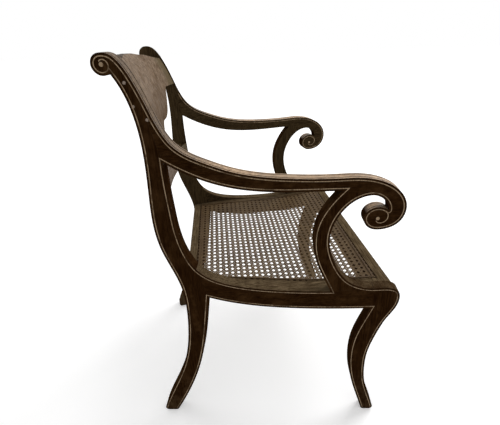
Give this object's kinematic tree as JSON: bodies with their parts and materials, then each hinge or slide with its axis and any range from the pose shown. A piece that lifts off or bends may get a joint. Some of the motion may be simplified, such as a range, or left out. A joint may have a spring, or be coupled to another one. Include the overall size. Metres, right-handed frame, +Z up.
{
  "type": "lyre back chair",
  "caption": "Regency style open armchair with scrolled arms, sabre legs, pale stringing on dark wood, a lyre shaped splat and a caned seat.",
  "frame": {"origin": "on the floor, under the middle of the bounding box", "axes": "+Z up, the sitter faces -Y, the sitter's left is +X"},
  "size_m": [0.5952, 0.5635, 0.8701],
  "materials": {
    "dark_wood": "dark polished wood, rubbed at the edges",
    "worn_wood": "worn, greyed polish over dark wood",
    "pale_stringing": "pale wood string, worn polish",
    "woven_cane": "aged cane, satin",
    "pin_wood": "plain wood"
  },
  "bodies": {
    "root": {"right_back_post": "dark_wood", "right_side_rail": "dark_wood", "right_front_leg": "dark_wood", "right_arm": "dark_wood", "right_arm_support": "dark_wood", "right_stringing": "pale_stringing", "right_scroll_eyes": "pale_stringing", "right_frame_dowels": "pin_wood", "left_back_post": "dark_wood", "left_side_rail": "dark_wood", "left_front_leg": "dark_wood", "left_arm": "dark_wood", "left_arm_support": "dark_wood", "left_stringing": "pale_stringing", "left_scroll_eyes": "pale_stringing", "left_frame_dowels": "pin_wood", "crest_tablet": "worn_wood", "lyre_splat": "worn_wood", "stay_rail": "worn_wood", "back_seat_rail": "dark_wood", "front_seat_rail": "dark_wood", "cane_panel": "woven_cane", "cane_binding": "woven_cane"}
  },
  "joints": []
}
